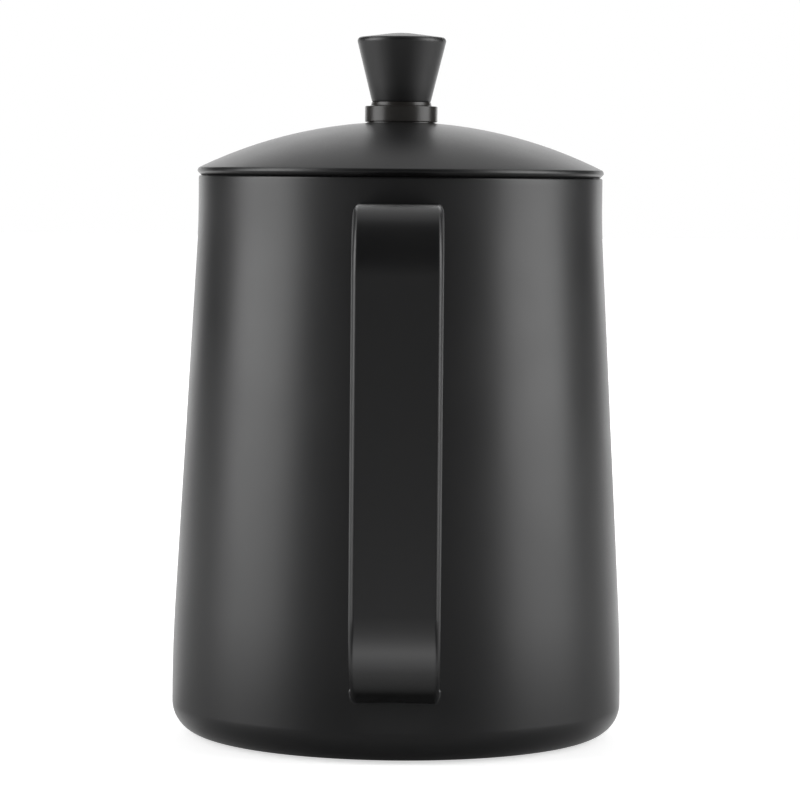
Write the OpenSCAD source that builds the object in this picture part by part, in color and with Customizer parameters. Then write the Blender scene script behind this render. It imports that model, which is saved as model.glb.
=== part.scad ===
// Gooseneck coffee kettle with a welded strap handle and a lift-off lid.
// The kettle stands on Z = 0 with its axis on Z, the handle towards -Y and the spout towards +Y.

/* [Body] */
// Largest outer diameter, just above the foot
body_d = 90; // [86:1:94]
// Outer diameter at the mouth
mouth_d = 80.6; // [79.6:0.2:81]
// Height of the mouth above the table
rim_h = 111.2; // [109:0.2:113]
// Thickness of the sheet in the wall, bottom and spout
sheet_t = 0.8; // [0.6:0.1:1]
// Outer radius of the corner between the wall and the bottom
corner_r = 6.2; // [5:0.1:7]
// Thickness of the folded hem round the mouth
hem_t = 1.4; // [1.3:0.1:1.6]

/* [Lid] */
// Outer diameter over the rolled edge
lid_d = 81.1; // [80.9:0.1:81.5]
// Radius of the rolled edge
bead_r = 0.75; // [0.7:0.05:0.85]
// Height of the dome's top above the mouth
dome_h = 11.1; // [10.8:0.1:11.4]
// Outer radius of the dome
dome_r = 91; // [89:1:93]
// Thickness of the lid's sheet
lid_t = 0.8; // [0.6:0.1:0.9]
// Gap under the rolled edge when the lid is on
lid_gap = 0.35; // [0.3:0.05:0.5]
// Depth of the skirt below the mouth
skirt_depth = 10; // [7:0.5:14]
// Gap all round between the skirt and the hem
skirt_gap = 0.4; // [0.3:0.05:0.6]
// Diameter of the steam vent
vent_d = 2.4; // [2:0.1:3]

/* [Knob] */
// Diameter of the collar under the knob
collar_d = 14.5; // [14.4:0.1:15]
// Height of the collar above the dome's top
collar_h = 3.9; // [3.6:0.1:4.2]
// Diameter of the knob at the collar
knob_foot_d = 11.7; // [11.3:0.1:11.8]
// Diameter of the knob where the cone ends
knob_head_d = 17.7; // [16.5:0.1:18.5]
// Height of the cone
cone_h = 11.9; // [11.6:0.1:12.2]
// Whole height of the knob
knob_h = 13.8; // [13.6:0.1:14]
// Radius of the knob's top edge
knob_edge_r = 0.65; // [0.5:0.05:0.8]

/* [Handle] */
// Width of the strap
strap_w = 16.8; // [14:0.2:20]
// Thickness of the strap, whose edges are fully round
strap_t = 2.4; // [2:0.1:2.6]
// Distance from the kettle's axis to the strap's outer face
handle_reach = 75; // [70:1:82]
// Height of the strap's top face
handle_top = 106.2; // [102.2:0.5:106.2]
// Height at which the lower bend starts
lower_bend_z = 31.7; // [30:0.1:34]
// Outer radius of the two bends
handle_bend_r = 12.6; // [11:0.1:14]
// Slope of the lower run below the horizontal
lower_slope = 20; // [16:1:22]

/* [Spout] */
// Height of the spout's root on the wall
root_z = 26; // [25:0.5:30]
// Angle at which the root leaves the wall, above the horizontal
root_rise = 18; // [12:1:20]
// Radius of the root at the wall
root_r = 11.5; // [11:0.1:12]
// Length of the flared root
root_length = 16; // [15:0.5:18]
// Outer radius of the lower neck
neck_r = 7; // [6.6:0.1:7.2]
// Outer radius of the upper neck
crook_r = 4.7; // [4.6:0.1:5]
// Outer radius at the tip
tip_r = 4.4; // [4.3:0.1:4.6]
// Radius of the lower bend
lower_turn_r = 22; // [20:1:24]
// Direction of the straight neck, where 90 is upright
neck_lean = 97; // [94:1:100]
// Length of the straight neck
neck_length = 32; // [32:1:36]
// Radius of the crook
crook_turn_r = 19; // [17:1:20]
// Angle at which the tip points below the horizontal
tip_drop = 20; // [15:1:30]
// Length of the straight tip along its lower side
tip_length = 13; // [12:0.5:15]

/* [Hidden] */
$fn = 128;
long_arc_fn = 720;

// The wall leans in at one steady taper, eased in above the foot and out below the mouth
body_r = body_d / 2;
mouth_r = mouth_d / 2;
ease_in = [corner_r + 2, corner_r + 20];
ease_out = [rim_h - 14, rim_h - 5];
ease_in_middle = (ease_in[0] + ease_in[1]) / 2;
ease_out_middle = (ease_out[0] + ease_out[1]) / 2;
taper = (body_r - mouth_r) / (ease_out_middle - ease_in_middle);
wall_steps = 30;

// Hem round the mouth
hem_r = hem_t / 2;
hem_depth = 2.2;
hem_z = rim_h - hem_r;
mouth_inner_r = mouth_r - hem_t;

// Groove pressed into the bottom
groove_r = 30;
groove_w = 2;
groove_depth = 0.3;

// Welded ends reach this far into the wall, and the fillets stand this far out of it
weld_bite = 0.3;
weld_h = 0.9;
weld_w = 0.7;

// Lid
dome_top = rim_h + dome_h;
dome_centre_z = dome_top - dome_r;
bead_ring_r = lid_d / 2 - bead_r;
bead_z = rim_h + lid_gap + bead_r;
skirt_t = 0.7;
skirt_r = mouth_inner_r - skirt_gap;
vent_y = 28;
screw_hole_r = 2.2;

// Knob and what holds it
collar_r = collar_d / 2;
collar_top = dome_top + collar_h;
collar_neck_h = 0.8;
collar_neck_r = 6.1;
collar_neck_step = 0.05;
ledge_z = collar_top - collar_neck_h;
knob_foot_r = knob_foot_d / 2;
knob_head_r = knob_head_d / 2;
knob_edge_step = 0.02;
insert_r = 3;
insert_length = 8;
insert_recess = 0.5;
insert_bore_depth = 9;
screw_r = 2;
screw_length = 14;
screw_head_r = 4;
screw_head_h = 2.6;
screw_slot_w = 0.9;
screw_slot_length = 4.4;
screw_slot_depth = 1.3;
flat_washer_r = 4.5;
flat_washer_t = 0.8;
spring_washer_r = 3.6;
spring_washer_t = 1;
spring_washer_split = 0.8;
washer_top = dome_centre_z + sqrt(pow(dome_r - lid_t, 2) - pow(flat_washer_r, 2));
spring_top = washer_top - flat_washer_t;
screw_seat = spring_top - spring_washer_t;

// Straight runs of strap and tube are a hair thinner than the bends that they lap into
lap = 0.2;
lap_step = 0.02;

// Handle path in the plane of the handle, where the first coordinate is the distance from the axis
bend_middle_r = handle_bend_r - strap_t / 2;
upper_bend = [handle_reach - handle_bend_r, handle_top - handle_bend_r];
lower_bend = [handle_reach - handle_bend_r, lower_bend_z];
lower_turn = 90 - lower_slope;
upper_end = [mouth_r - 4, handle_top - strap_t / 2];
lower_start = lower_bend + bend_middle_r * [cos(lower_turn), -sin(lower_turn)];
lower_heading = 180 + lower_slope;
lower_length = (lower_start[0] - body_r + 4) / cos(lower_slope);

// Spout path in the same kind of plane
root_start = [wall_radius(root_z), root_z];
root_end = root_start + root_length * direction(root_rise);
lower_centre = root_end + lower_turn_r * direction(root_rise + 90);
neck_start = lower_centre + lower_turn_r * direction(neck_lean - 90);
neck_end = neck_start + neck_length * direction(neck_lean);
crook_centre = neck_end + crook_turn_r * direction(neck_lean - 90);
tip_start = crook_centre + crook_turn_r * direction(90 - tip_drop);
tip_cut_angle = 25;
tip_cut = tip_start + (tip_length - tip_r * tan(tip_cut_angle)) * direction(-tip_drop);
flare_r = (pow(root_length, 2) + pow(root_r - neck_r, 2)) / (2 * (root_r - neck_r));
flare_back = 7;
spout_hole_r = 9.5;

// Unit vector at an angle above the horizontal
function direction(angle) = [cos(angle), sin(angle)];

// Length over which a slope has acted at height z, when it grows from none to full between two heights
function eased(z, heights) =
    z <= heights[0] ? 0 :
    z >= heights[1] ? z - (heights[0] + heights[1]) / 2 :
    pow(z - heights[0], 2) / (2 * (heights[1] - heights[0]));

// Outer radius of the wall at height z
function wall_radius(z) = body_r - taper * (eased(z, ease_in) - eased(z, ease_out));

// Outline of the wall between two heights, moved out by a distance
function wall_line(low, high, out) = [
    for (i = [0:wall_steps])
        let (z = low + i * (high - low) / wall_steps)
        [wall_radius(z) + out, z]
];

function reversed(list) = [for (i = [len(list) - 1:-1:0]) list[i]];

// Places a child that points along +Z so that it starts at a point of a path and follows a heading
module along(point, heading) {
    translate([0, point[0], point[1]])
        rotate([heading - 90, 0, 0])
            children();
}

// Sweeps a section round a centre in the plane of a path, from one angle to another
module turn(centre, radius, from, to) {
    translate([0, centre[0], centre[1]])
        rotate([90, 0, 90])
            rotate([0, 0, from])
                rotate_extrude(angle = to - from)
                    translate([radius, 0])
                        children();
}

// Solid that the wall encloses between two heights, grown by a distance
module wall_core(low, high, out) {
    rotate_extrude()
        polygon(concat([[0, low]], wall_line(low, high, out), [[0, high]]));
}

// Layer on the wall in which the weld fillets lie
module weld_layer(low, high) {
    difference() {
        wall_core(low, high, weld_h);
        wall_core(low - 1, high + 1, -weld_bite);
    }
}

module body_wall() {
    color("#1c1c1d")
        difference() {
            rotate_extrude()
                union() {
                    polygon(concat(
                        wall_line(corner_r, hem_z, 0),
                        reversed(wall_line(corner_r, hem_z, -sheet_t))
                    ));
                    translate([mouth_inner_r, rim_h - hem_depth])
                        square([hem_t, hem_depth - hem_r]);
                    translate([mouth_r - hem_r, hem_z])
                        circle(hem_r);
                }
            along(root_start, root_rise)
                translate([0, 0, -root_length / 2])
                    cylinder(r = spout_hole_r, h = root_length);
        }
}

module base_pan() {
    corner_centre = body_r - corner_r;
    color("#1c1c1d")
        rotate_extrude()
            difference() {
                union() {
                    square([corner_centre, corner_r]);
                    intersection() {
                        translate([corner_centre, corner_r])
                            circle(corner_r);
                        translate([corner_centre, 0])
                            square(corner_r);
                    }
                }
                translate([0, sheet_t])
                    square([corner_centre, corner_r]);
                translate([corner_centre, corner_r])
                    circle(corner_r - sheet_t);
                translate([groove_r - groove_w / 2, 0])
                    square([groove_w, groove_depth]);
            }
}

// Cross section of the strap, grown all round by a distance
module strap_section(grow) {
    thickness = strap_t + 2 * grow;
    square([strap_w - strap_t, thickness], center = true);
    for (side = [-1, 1])
        translate([side * (strap_w - strap_t) / 2, 0])
            circle(thickness / 2);
}

module strap_upper_run(grow) {
    along(upper_end, 0)
        linear_extrude(upper_bend[0] - upper_end[0] + lap)
            strap_section(grow - lap_step);
}

module strap_lower_run(grow) {
    along(lower_start, lower_heading)
        translate([0, 0, -lap])
            linear_extrude(lower_length + lap)
                strap_section(grow - lap_step);
}

module handle_strap() {
    color("#1c1c1d")
        mirror([0, 1, 0])
            difference() {
                union() {
                    strap_upper_run(0);
                    turn(upper_bend, bend_middle_r, 0, 90)
                        rotate(90)
                            strap_section(0);
                    along([handle_reach - strap_t / 2, lower_bend_z - lap], 90)
                        linear_extrude(upper_bend[1] - lower_bend_z + 2 * lap)
                            strap_section(-lap_step);
                    turn(lower_bend, bend_middle_r, -lower_turn, 0)
                        rotate(90)
                            strap_section(0);
                    strap_lower_run(0);
                }
                wall_core(corner_r, hem_z, -weld_bite);
            }
}

module upper_handle_weld() {
    color("#232324")
        mirror([0, 1, 0])
            difference() {
                intersection() {
                    strap_upper_run(weld_w);
                    weld_layer(handle_top - 10, hem_z);
                }
                strap_upper_run(0);
            }
}

module lower_handle_weld() {
    color("#232324")
        mirror([0, 1, 0])
            difference() {
                intersection() {
                    strap_lower_run(weld_w);
                    weld_layer(corner_r, lower_bend_z);
                }
                strap_lower_run(0);
            }
}

// Flared skin of the spout's root, between two distances outside its own surface
module root_skin(inside, outside) {
    along(root_start, root_rise)
        rotate_extrude()
            intersection() {
                translate([neck_r + flare_r, root_length])
                    difference() {
                        circle(flare_r - inside, $fn = long_arc_fn);
                        circle(flare_r - outside, $fn = long_arc_fn);
                    }
                translate([0, -flare_back])
                    square([neck_r + flare_r / 2, root_length + flare_back]);
            }
}

module spout_root() {
    color("#1c1c1d")
        difference() {
            root_skin(-sheet_t, 0);
            wall_core(corner_r, hem_z, -weld_bite);
        }
}

module spout_weld() {
    color("#232324")
        intersection() {
            root_skin(0, weld_w);
            weld_layer(corner_r, 2 * root_z);
        }
}

module tube_section(radius) {
    difference() {
        circle(radius);
        circle(radius - sheet_t);
    }
}

// Straight stretch of tube that narrows from one radius to another and laps into what it joins
module tapered_tube(start_r, end_r, length) {
    inset = [lap_step, 0];
    through = [sheet_t, 0];
    rotate_extrude()
        polygon([
            [start_r, -lap] - through + inset, [start_r, -lap] - inset,
            [end_r, length + lap] - inset, [end_r, length + lap] - through + inset
        ]);
}

module spout_neck() {
    color("#1c1c1d")
        difference() {
            union() {
                turn(lower_centre, lower_turn_r, root_rise - 90, neck_lean - 90)
                    tube_section(neck_r);
                along(neck_start, neck_lean)
                    tapered_tube(neck_r, crook_r, neck_length);
                turn(crook_centre, crook_turn_r, 90 - tip_drop, neck_lean + 90)
                    tube_section(crook_r);
                along(tip_start, -tip_drop)
                    tapered_tube(crook_r, tip_r, tip_length);
            }
            along(tip_cut, tip_cut_angle - tip_drop)
                translate([0, 0, tip_length])
                    cube(2 * tip_length, center = true);
        }
}

module lid_dome() {
    color("#1c1c1d")
        difference() {
            rotate_extrude()
                union() {
                    intersection() {
                        translate([0, dome_centre_z])
                            difference() {
                                circle(dome_r, $fn = long_arc_fn);
                                circle(dome_r - lid_t, $fn = long_arc_fn);
                            }
                        translate([screw_hole_r, rim_h])
                            square([bead_ring_r - screw_hole_r, 2 * dome_h]);
                    }
                    translate([bead_ring_r, bead_z])
                        circle(bead_r);
                }
            translate([0, vent_y, rim_h])
                cylinder(d = vent_d, h = 2 * dome_h);
        }
}

module lid_skirt() {
    color("#b9b9b6")
        rotate_extrude()
            intersection() {
                translate([0, dome_centre_z])
                    circle(dome_r - lid_t + weld_bite, $fn = long_arc_fn);
                translate([skirt_r - skirt_t, rim_h - skirt_depth])
                    square([skirt_t, 2 * skirt_depth]);
            }
}

// A ledge runs round the collar's top, and a short neck narrows from it up to the knob
module knob_collar() {
    color("#2b2927")
        rotate_extrude()
            difference() {
                polygon([
                    [screw_hole_r, dome_top - 1], [collar_r, dome_top - 1],
                    [collar_r, ledge_z], [collar_neck_r, ledge_z],
                    [knob_foot_r + collar_neck_step, collar_top], [screw_hole_r, collar_top]
                ]);
                translate([0, dome_centre_z])
                    circle(dome_r, $fn = long_arc_fn);
            }
}

// The knob's side is a cone and its top a wide arc. The edge between them is rounded by an arc that stands out
// a hair, so that it cuts both cleanly.
module knob() {
    cone_side = sqrt(pow(knob_head_r - knob_foot_r, 2) + pow(cone_h, 2));
    edge = [
        knob_head_r - knob_edge_r * cone_h / cone_side,
        cone_h + knob_edge_r * (knob_head_r - knob_foot_r) / cone_side
    ];
    sink = knob_h - edge[1];
    crown_r = (pow(edge[0], 2) + pow(sink, 2) - pow(knob_edge_r, 2)) / (2 * (sink - knob_edge_r));
    crown_z = knob_h - crown_r;
    meet = [0, crown_z] + (edge - [0, crown_z]) * crown_r / (crown_r - knob_edge_r);
    color("#202021")
        translate([0, 0, collar_top])
            difference() {
                rotate_extrude()
                    union() {
                        polygon([
                            [0, 0], [knob_foot_r, 0], [knob_head_r, cone_h], edge, meet, [0, meet[1]]
                        ]);
                        translate(edge)
                            circle(knob_edge_r + knob_edge_step);
                        intersection() {
                            translate([0, crown_z])
                                circle(crown_r, $fn = long_arc_fn);
                            translate([0, meet[1]])
                                square([knob_head_r, knob_h]);
                        }
                    }
                translate([0, 0, -1])
                    cylinder(r = insert_r, h = insert_bore_depth + 1);
            }
}

module knob_insert() {
    color("#b08d57")
        translate([0, 0, collar_top + insert_recess])
            difference() {
                cylinder(r = insert_r, h = insert_length);
                translate([0, 0, -1])
                    cylinder(r = screw_r, h = insert_length + 2);
            }
}

module knob_screw() {
    color("#b9b9b6")
        translate([0, 0, screw_seat])
            difference() {
                union() {
                    cylinder(r = screw_r, h = screw_length);
                    translate([0, 0, -screw_head_h])
                        cylinder(r = screw_head_r, h = screw_head_h);
                }
                for (angle = [0, 90])
                    rotate(angle)
                        translate([-screw_slot_length / 2, -screw_slot_w / 2, -screw_head_h - 1])
                            cube([screw_slot_length, screw_slot_w, screw_slot_depth + 1]);
            }
}

module flat_washer() {
    color("#b9b9b6")
        translate([0, 0, spring_top])
            difference() {
                cylinder(r = flat_washer_r, h = flat_washer_t);
                translate([0, 0, -1])
                    cylinder(r = screw_hole_r, h = flat_washer_t + 2);
            }
}

module spring_washer() {
    color("#b9b9b6")
        translate([0, 0, screw_seat])
            difference() {
                cylinder(r = spring_washer_r, h = spring_washer_t);
                translate([0, 0, -1])
                    cylinder(r = screw_hole_r, h = spring_washer_t + 2);
                translate([0, -spring_washer_split / 2, -1])
                    cube([spring_washer_r + 1, spring_washer_split, spring_washer_t + 2]);
            }
}

body_wall();
base_pan();
handle_strap();
upper_handle_weld();
lower_handle_weld();
spout_root();
spout_neck();
spout_weld();
lid_dome();
lid_skirt();
knob_collar();
knob();
knob_insert();
knob_screw();
flat_washer();
spring_washer();
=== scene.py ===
"""Looks of a gooseneck coffee kettle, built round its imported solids.

Sizes are in metres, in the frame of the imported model. The kettle stands on Z = 0 with its axis on Z, the
handle towards -Y and the spout towards +Y.
"""

import logging
import math
from collections.abc import Callable, Sequence
from dataclasses import dataclass
from enum import Enum, IntEnum

import bmesh
import bpy
from mathutils import Matrix, Vector

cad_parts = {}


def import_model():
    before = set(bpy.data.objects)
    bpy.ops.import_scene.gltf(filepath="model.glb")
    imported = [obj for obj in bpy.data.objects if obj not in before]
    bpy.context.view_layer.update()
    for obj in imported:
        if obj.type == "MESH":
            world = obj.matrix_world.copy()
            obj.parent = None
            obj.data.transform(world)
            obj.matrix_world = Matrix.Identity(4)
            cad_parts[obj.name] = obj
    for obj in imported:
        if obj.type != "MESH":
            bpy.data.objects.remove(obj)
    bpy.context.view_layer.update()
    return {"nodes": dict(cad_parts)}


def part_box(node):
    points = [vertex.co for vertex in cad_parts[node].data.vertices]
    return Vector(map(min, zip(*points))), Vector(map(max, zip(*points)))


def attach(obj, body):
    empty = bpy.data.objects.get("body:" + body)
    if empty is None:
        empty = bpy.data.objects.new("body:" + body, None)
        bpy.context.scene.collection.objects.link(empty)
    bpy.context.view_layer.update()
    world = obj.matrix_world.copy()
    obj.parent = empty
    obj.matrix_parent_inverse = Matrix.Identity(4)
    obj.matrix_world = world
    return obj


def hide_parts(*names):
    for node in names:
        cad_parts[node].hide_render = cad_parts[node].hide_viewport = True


LOG = logging.getLogger("kettle")
IMAGE_SIDE = 800
ROUND_STEPS = 192
SHARP_ANGLE = math.radians(40)
MERGE_DISTANCE = 1e-7
HALVINGS = 40
SIDEWAYS = Vector((1, 0, 0))
WHITE = (1, 1, 1, 1)
DARK = (0.01, 0.01, 0.01, 1)
# Guards are extra points close to the ends of a straight run, which keep it straight in the shading. The
# first is a share of a corner's radius, the second a share of a path's stretch, and the third a distance.
CORNER_GUARD = 0.15
RUN_GUARD = 0.02
SEAM_GUARD = 0.00003
# Most values of soft noise lie in this range.
NOISE_RANGE = (0.3, 0.7)
# Marks round the axis are drawn as if no place were closer to it.
LEAST_RADIUS = 1e-5

Flat = tuple[float, float]
Corner = tuple[float, float, float]
Colour = tuple[float, float, float]
Counts = tuple[int, int]
Ring = list[Vector]
Seam = list[tuple[Vector, Vector]]
Piece = bpy.types.Object
Socket = bpy.types.NodeSocket


class Body(Enum):
    """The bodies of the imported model."""

    KETTLE = "kettle"
    LID = "lid"


class Slot(Enum):
    """The material slots of the record."""

    BLACK = "black_coating"
    STEEL = "bare_steel"
    COLLAR = "collar_coating"
    KNOB = "knob_plastic"


class Side(IntEnum):
    """Which of a sheet's two finishes a face takes."""

    OUTSIDE = 0
    INSIDE = 1


def eased(share: float) -> float:
    """A share from 0 to 1 with a soft start and end, held at 0 and 1 outside them."""
    held = min(max(share, 0.0), 1.0)
    return held * held * (3 - 2 * held)


def turns(count: int) -> list[float]:
    """Angles in radians, evenly spread round a full turn."""
    return [2 * math.pi * j / count for j in range(count)]


def arc(centre: Flat, radius: float, start: float, end: float, steps: int) -> list[Flat]:
    """Points on an arc, in a number of chords between two angles in degrees from the first axis."""
    angles = [math.radians(start + (end - start) * i / steps) for i in range(steps + 1)]
    return [(centre[0] + radius * math.cos(a), centre[1] + radius * math.sin(a)) for a in angles]


def rounded(corners: Sequence[Corner], steps: int = 8) -> list[Flat]:
    """A closed outline with rounded corners.

    Args:
        corners: The two coordinates of each corner and the radius that rounds it, 0 for a sharp corner.
        steps: The number of chords in each rounded corner.

    Returns:
        The points of the outline, with a guard on each side of an arc.
    """
    points: list[Flat] = []
    for i, (across, up, radius) in enumerate(corners):
        here = Vector((across, up))
        if radius == 0:
            points.append((across, up))
            continue
        before = (Vector(corners[i - 1][:2]) - here).normalized()
        after = (Vector(corners[(i + 1) % len(corners)][:2]) - here).normalized()
        half = math.acos(max(-1.0, min(1.0, before.dot(after)))) / 2
        reach = radius / math.tan(half)
        centre = here + (before + after).normalized() * radius / math.sin(half)
        first = here + before * reach - centre
        last = here + after * reach - centre
        start = math.degrees(math.atan2(first.y, first.x))
        swing = math.degrees(math.atan2(last.y, last.x)) - start
        swing = (swing + 180) % 360 - 180
        guard = radius * CORNER_GUARD
        points.append(tuple(here + before * (reach + guard)))
        points.extend(arc(tuple(centre), radius, start, start + swing, steps))
        points.append(tuple(here + after * (reach + guard)))
    return points


def crossing(near: float, far: float, inside: Callable[[float], bool]) -> float:
    """Finds by halving where a line comes out of a form.

    Args:
        near: A distance along the line that lies inside.
        far: A distance that lies outside.
        inside: Tells whether a distance lies inside.

    Returns:
        The distance at which the line comes out.
    """
    for _ in range(HALVINGS):
        middle = (near + far) / 2
        if inside(middle):
            near = middle
        else:
            far = middle
    return far


def two_sided(outside: int, whole: int) -> list[Side]:
    """The finishes of a sheet's rows of faces, of which the first ones lie outside."""
    return [Side.OUTSIDE] * outside + [Side.INSIDE] * (whole - outside)


def smooth(mesh: bpy.types.Mesh) -> None:
    """Shades a mesh smooth and keeps its corners sharp."""
    mesh.shade_smooth()
    mesh.set_sharp_from_angle(angle=SHARP_ANGLE)


def placed(name: str, work: bmesh.types.BMesh) -> Piece:
    """Turns a worked mesh into an object of the scene.

    Args:
        name: The name of the new object.
        work: The worked mesh, which is freed.

    Returns:
        The new object.
    """
    mesh = bpy.data.meshes.new(name)
    work.to_mesh(mesh)
    work.free()
    made = bpy.data.objects.new(name, mesh)
    bpy.context.scene.collection.objects.link(made)
    return made


def quilt(name: str, grid: Sequence[Ring]) -> Piece:
    """An open sheet of quads between rows of points.

    Args:
        name: The name of the new object.
        grid: Rows with the same number of points.

    Returns:
        The new object.
    """
    work = bmesh.new()
    rows = [[work.verts.new(point) for point in row] for row in grid]
    for low, high in zip(rows, rows[1:], strict=False):
        for j in range(len(low) - 1):
            work.faces.new((low[j], low[j + 1], high[j + 1], high[j]))
    return placed(name, work)


def loft(name: str, rings: Sequence[Ring], closed: bool = True, sides: Sequence[Side] = ()) -> Piece:
    """A mesh that joins rings of points in order.

    Args:
        name: The name of the new object.
        rings: Closed rings with the same number of points.
        closed: True joins the last ring to the first, and False caps both ends.
        sides: The finish of the faces that start at each ring, the outside one if left out.

    Returns:
        The new object.
    """
    work = bmesh.new()
    rows = [[work.verts.new(point) for point in ring] for ring in rings]
    count = len(rows[0])
    gaps = len(rows) if closed else len(rows) - 1
    for i in range(gaps):
        low = rows[i]
        high = rows[(i + 1) % len(rows)]
        for j in range(count):
            k = (j + 1) % count
            face = work.faces.new((low[j], low[k], high[k], high[j]))
            face.material_index = int(sides[i]) if sides else 0
    if not closed:
        work.faces.new(rows[0])
        work.faces.new(rows[-1])
    bmesh.ops.remove_doubles(work, verts=work.verts, dist=MERGE_DISTANCE)
    bmesh.ops.recalc_face_normals(work, faces=work.faces)
    made = placed(name, work)
    for _ in range(max(sides, default=0) + 1):
        made.data.materials.append(None)
    smooth(made.data)
    return made


def revolve(name: str, outline: Sequence[Flat], sides: Sequence[Side] = ()) -> Piece:
    """A mesh made by turning a closed outline round the kettle's axis.

    Args:
        name: The name of the new object.
        outline: Pairs of radius and height.
        sides: The finish of the faces that start at each point of the outline.

    Returns:
        The new object.
    """
    around = turns(ROUND_STEPS)
    rings = [[Vector((r * math.cos(a), r * math.sin(a), z)) for a in around] for r, z in outline]
    return loft(name, rings, True, sides)


def drill(piece: Piece, cutter: Piece) -> None:
    """Takes one closed mesh out of another.

    Args:
        piece: The object that gets the hole.
        cutter: The object in the shape of the hole, which is deleted.
    """
    change = piece.modifiers.new("hole", "BOOLEAN")
    change.operation = "DIFFERENCE"
    change.solver = "EXACT"
    change.object = cutter
    bpy.context.view_layer.update()
    whole = piece.data
    worked = piece.evaluated_get(bpy.context.evaluated_depsgraph_get())
    piece.data = bpy.data.meshes.new_from_object(worked)
    piece.modifiers.clear()
    piece.data.name = piece.name
    bpy.data.meshes.remove(whole)
    bpy.data.meshes.remove(cutter.data)
    smooth(piece.data)


@dataclass(frozen=True)
class Ramp:
    """A number that changes evenly over a range and is held outside it."""

    source: Flat
    low: float
    high: float


class NodeSheet:
    """Adds and links the nodes of one material or of the surround."""

    def __init__(self, tree: bpy.types.NodeTree) -> None:
        """Takes the tree that holds the nodes."""
        self.tree = tree

    def find(self, kind: str) -> bpy.types.Node:
        """The first node of a kind."""
        return next(node for node in self.tree.nodes if node.type == kind)

    def add(self, kind: str, **values: object) -> bpy.types.Node:
        """Adds a node.

        Args:
            kind: The node's type name.
            values: Its settings by name.

        Returns:
            The new node.
        """
        node = self.tree.nodes.new(kind)
        for key, value in values.items():
            setattr(node, key, value)
        return node

    def feed(self, target: Socket, source: Socket | float) -> None:
        """Links a socket to another one or sets it to a number.

        Args:
            target: The socket that takes the value.
            source: The socket that gives it, or the number.
        """
        if isinstance(source, Socket):
            self.tree.links.new(source, target)
        else:
            target.default_value = source

    def surface(self, face: bpy.types.Node) -> None:
        """Makes a shader the surface of the material."""
        self.feed(self.find("OUTPUT_MATERIAL").inputs["Surface"], face.outputs[0])

    def place(self) -> Socket:
        """The place on the surface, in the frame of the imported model."""
        return self.add("ShaderNodeTexCoord").outputs["Object"]

    def split(self, place: Socket) -> tuple[Socket, ...]:
        """The three coordinates of a place.

        Args:
            place: The socket with the place.

        Returns:
            The sockets with the coordinates.
        """
        node = self.add("ShaderNodeSeparateXYZ")
        self.feed(node.inputs[0], place)
        return tuple(node.outputs)

    def noise(self, place: Socket, scale: float, detail: float) -> Socket:
        """Soft random values.

        Args:
            place: The place at which they are read.
            scale: The number of lumps in a metre.
            detail: The number of finer layers.

        Returns:
            The socket with values from 0 to 1.
        """
        node = self.add("ShaderNodeTexNoise")
        self.feed(node.inputs["Vector"], place)
        self.feed(node.inputs["Scale"], scale)
        self.feed(node.inputs["Detail"], detail)
        return node.outputs["Fac"]

    def maths(self, operation: str, first: Socket | float, second: Socket | float = 0.0) -> Socket:
        """The result of a sum on two values.

        Args:
            operation: The name of the sum.
            first: The first value.
            second: The second value.

        Returns:
            The socket with the result.
        """
        node = self.add("ShaderNodeMath", operation=operation)
        self.feed(node.inputs[0], first)
        self.feed(node.inputs[1], second)
        return node.outputs[0]

    def spread(
        self, value: Socket, low: Socket | float, high: float, source: Flat = NOISE_RANGE
    ) -> Socket:
        """Maps a value from one range to another.

        Args:
            value: The value to map.
            low: The result at the start of the range.
            high: The result at its end.
            source: The range that is mapped.

        Returns:
            The socket with the result.
        """
        node = self.add("ShaderNodeMapRange")
        self.feed(node.inputs["Value"], value)
        self.feed(node.inputs["From Min"], source[0])
        self.feed(node.inputs["From Max"], source[1])
        self.feed(node.inputs["To Min"], low)
        self.feed(node.inputs["To Max"], high)
        return node.outputs["Result"]

    def ramp(self, value: Socket, ramp: Ramp) -> Socket:
        """The number that a ramp gives at a value."""
        return self.spread(value, ramp.low, ramp.high, ramp.source)

    def tint(self, share: Socket, low: Colour, high: Colour) -> Socket:
        """A colour between two others.

        Args:
            share: How far it lies towards the second colour.
            low: The first colour.
            high: The second colour.

        Returns:
            The socket with the colour.
        """
        node = self.add("ShaderNodeMix", data_type="RGBA")
        self.feed(node.inputs[0], share)
        node.inputs[6].default_value = (*low, 1)
        node.inputs[7].default_value = (*high, 1)
        return node.outputs[2]

    def bump(self, height: Socket, depth: float, under: Socket | None = None) -> Socket:
        """Surface relief.

        Args:
            height: The relief from 0 to 1.
            depth: Its depth in metres.
            under: Coarser relief that it lies on.

        Returns:
            The socket with the normal.
        """
        node = self.add("ShaderNodeBump")
        self.feed(node.inputs["Height"], height)
        self.feed(node.inputs["Strength"], 1.0)
        self.feed(node.inputs["Distance"], depth)
        if under is not None:
            self.feed(node.inputs["Normal"], under)
        return node.outputs["Normal"]


@dataclass(frozen=True)
class Finish:
    """A surface finish that becomes one node material."""

    name: str

    def material(self) -> bpy.types.Material:
        """The material of this finish.

        Returns:
            The material, made on first use.
        """
        found = bpy.data.materials.get(self.name)
        if found is not None:
            return found
        made = bpy.data.materials.new(self.name)
        made.use_nodes = True
        self.paint(NodeSheet(made.node_tree))
        return made

    def paint(self, sheet: NodeSheet) -> None:
        """Fills the material's nodes, which each kind of finish does in its own way."""
        raise NotImplementedError


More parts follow.
